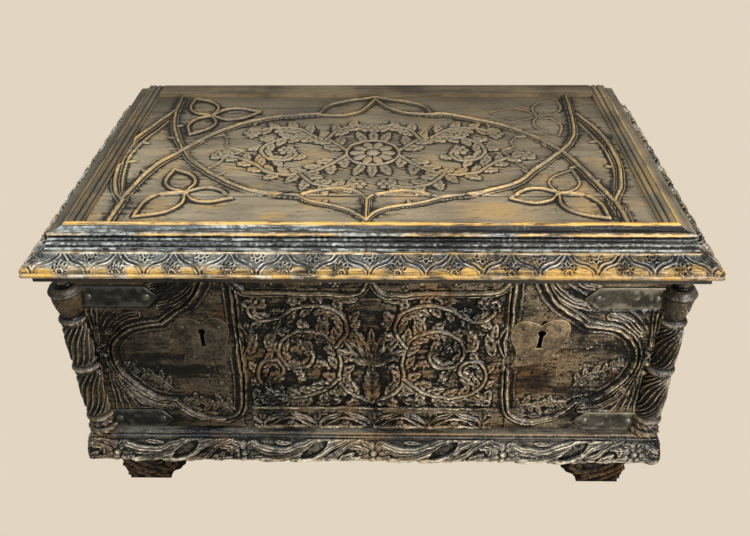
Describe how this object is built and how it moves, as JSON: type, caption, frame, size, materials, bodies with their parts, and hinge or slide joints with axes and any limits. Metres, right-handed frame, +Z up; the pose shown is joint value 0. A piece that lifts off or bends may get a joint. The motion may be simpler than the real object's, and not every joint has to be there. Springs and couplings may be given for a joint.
{
  "type": "cassone chest",
  "caption": "Carved oak chest with a hinged moulded lid, fluted corner columns, iron corner straps, heart shaped escutcheons and sliding lock bolts.",
  "frame": {"origin": "on the floor, under the middle of the chest's overall outline, hinge knuckles at the back included", "axes": "+X to the right seen from the carved front, +Y to the back, +Z up"},
  "size_m": [1.18, 0.6833, 0.598],
  "materials": {
    "case_oak": "old waxed oak, dark",
    "carved_oak": "carved oak, nearly black, worn on the high edges",
    "foot_oak": "carved oak, brown",
    "lid_oak": "oak, grey brown, worn to ochre on the ribs",
    "gilded_edge_oak": "carved oak, polished black with ochre wear on the edges",
    "strap_iron": "hammered wrought iron, dark and speckled",
    "escutcheon_iron": "wrought iron, brownish",
    "lock_iron": "forged iron, brown patina",
    "hinge_iron": "forged iron, dark"
  },
  "bodies": {
    "case": {"back_board": "case_oak", "bottom_board": "case_oak", "end_board_left": "case_oak", "end_board_right": "case_oak", "front_board": "carved_oak", "plinth_front": "carved_oak", "plinth_left": "carved_oak", "plinth_right": "carved_oak", "corner_column_left": "carved_oak", "corner_column_right": "carved_oak", "foot_front_left": "foot_oak", "foot_front_right": "foot_oak", "foot_rear_left": "foot_oak", "foot_rear_right": "foot_oak", "corner_strap_upper_left": "strap_iron", "corner_strap_upper_right": "strap_iron", "corner_strap_lower_left": "strap_iron", "corner_strap_lower_right": "strap_iron", "strap_nails": "strap_iron", "escutcheon_left": "escutcheon_iron", "escutcheon_right": "escutcheon_iron", "escutcheon_nails": "escutcheon_iron", "lock_case_left": "lock_iron", "lock_case_right": "lock_iron", "lock_drill_pin_left": "lock_iron", "lock_drill_pin_right": "lock_iron", "lock_screws": "lock_iron", "hinge_leaf_case_left": "hinge_iron", "hinge_leaf_case_right": "hinge_iron", "hinge_pin_left": "hinge_iron", "hinge_pin_right": "hinge_iron", "case_hinge_nails": "hinge_iron"},
    "lid": {"lid_board_front": "lid_oak", "lid_board_main": "lid_oak", "lid_border_back": "lid_oak", "lid_border_left": "lid_oak", "lid_border_right": "lid_oak", "lid_frame_front": "lid_oak", "lid_frame_back": "lid_oak", "lid_frame_left": "lid_oak", "lid_frame_right": "lid_oak", "lid_carved_edge_front": "gilded_edge_oak", "lid_carved_edge_left": "gilded_edge_oak", "lid_carved_edge_right": "gilded_edge_oak", "lid_reeded_edge_front": "gilded_edge_oak", "lid_reeded_edge_left": "gilded_edge_oak", "lid_reeded_edge_right": "gilded_edge_oak", "lid_staple_left": "lock_iron", "lid_staple_right": "lock_iron", "hinge_leaf_lid_left": "hinge_iron", "hinge_leaf_lid_right": "hinge_iron", "lid_hinge_nails": "hinge_iron"},
    "bolt_left": {"lock_bolt_left": "lock_iron"},
    "bolt_right": {"lock_bolt_right": "lock_iron"}
  },
  "joints": [
    {"name": "lid_hinge", "type": "hinge", "parent": "case", "child": "lid", "pos_m": [0, 0.33515, 0.512], "axis": [-1, 0, 0], "range_deg": [0, 100]},
    {"name": "bolt_left_slide", "type": "slide", "parent": "case", "child": "bolt_left", "axis": [1, 0, 0], "range_m": [0, 0.02]},
    {"name": "bolt_right_slide", "type": "slide", "parent": "case", "child": "bolt_right", "axis": [1, 0, 0], "range_m": [0, 0.02]}
  ]
}
